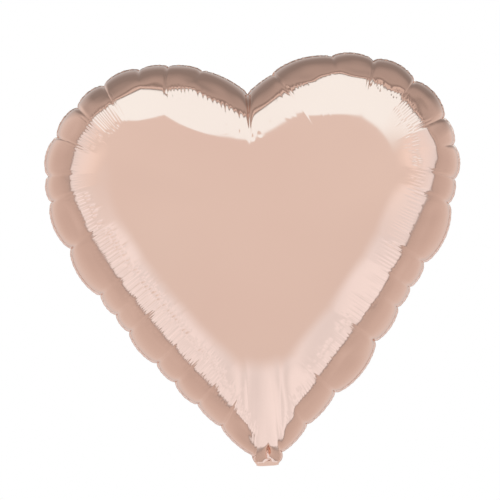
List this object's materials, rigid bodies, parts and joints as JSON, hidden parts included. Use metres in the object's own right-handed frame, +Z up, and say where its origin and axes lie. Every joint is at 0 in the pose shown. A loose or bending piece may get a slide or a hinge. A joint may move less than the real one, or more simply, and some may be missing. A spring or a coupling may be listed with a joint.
{
  "type": "heart-shaped foil balloon",
  "caption": "Inflated heart-shaped foil balloon with a puckered heat-sealed edge, a folded filling tail and a self-sealing valve.",
  "frame": {"origin": "middle of the tail's fold line, at the heart's tip, where a ribbon or a stick's cup holds the balloon", "axes": "+Z up from the tip through the notch, -Y out of the front panel, +X to the right-hand lobe seen from the front"},
  "size_m": [0.3745, 0.166, 0.3682],
  "materials": {
    "foil": "mirror-bright rose-gold metallised film, finely wrinkled beside the seal",
    "heat_seal": "welded rose-gold film edge, satin",
    "valve_film": "clear polyethylene film"
  },
  "bodies": {
    "balloon": {"front_foil_panel": "foil", "back_foil_panel": "foil", "perimeter_heat_seal": "heat_seal", "valve_neck_front_film": "valve_film", "valve_neck_back_film": "valve_film"},
    "tail": {"tail_front_film": "foil", "tail_back_film": "foil", "tail_left_seal": "heat_seal", "tail_right_seal": "heat_seal", "valve_tail_front_film": "valve_film", "valve_tail_back_film": "valve_film"},
    "front_lip": {"valve_front_lip": "valve_film"},
    "back_lip": {"valve_back_lip": "valve_film"}
  },
  "joints": [
    {"name": "tail_fold", "type": "hinge", "parent": "balloon", "child": "tail", "pos_m": [0, 0, 0], "axis": [-1, 0, 0], "range_deg": [0, 276]},
    {"name": "valve_front_open", "type": "hinge", "parent": "balloon", "child": "front_lip", "pos_m": [0, -0.00025, 0.00722], "axis": [1, 0, 0], "range_deg": [0, 3], "stiffness_Nm_per_rad": 0.001},
    {"name": "valve_back_open", "type": "hinge", "parent": "balloon", "child": "back_lip", "pos_m": [0, 0.00025, 0.00722], "axis": [1, 0, 0], "range_deg": [-3, 0], "stiffness_Nm_per_rad": 0.001}
  ],
  "couplings": [
    {"joint": "valve_back_open", "follows": "valve_front_open", "ratio": -1}
  ]
}
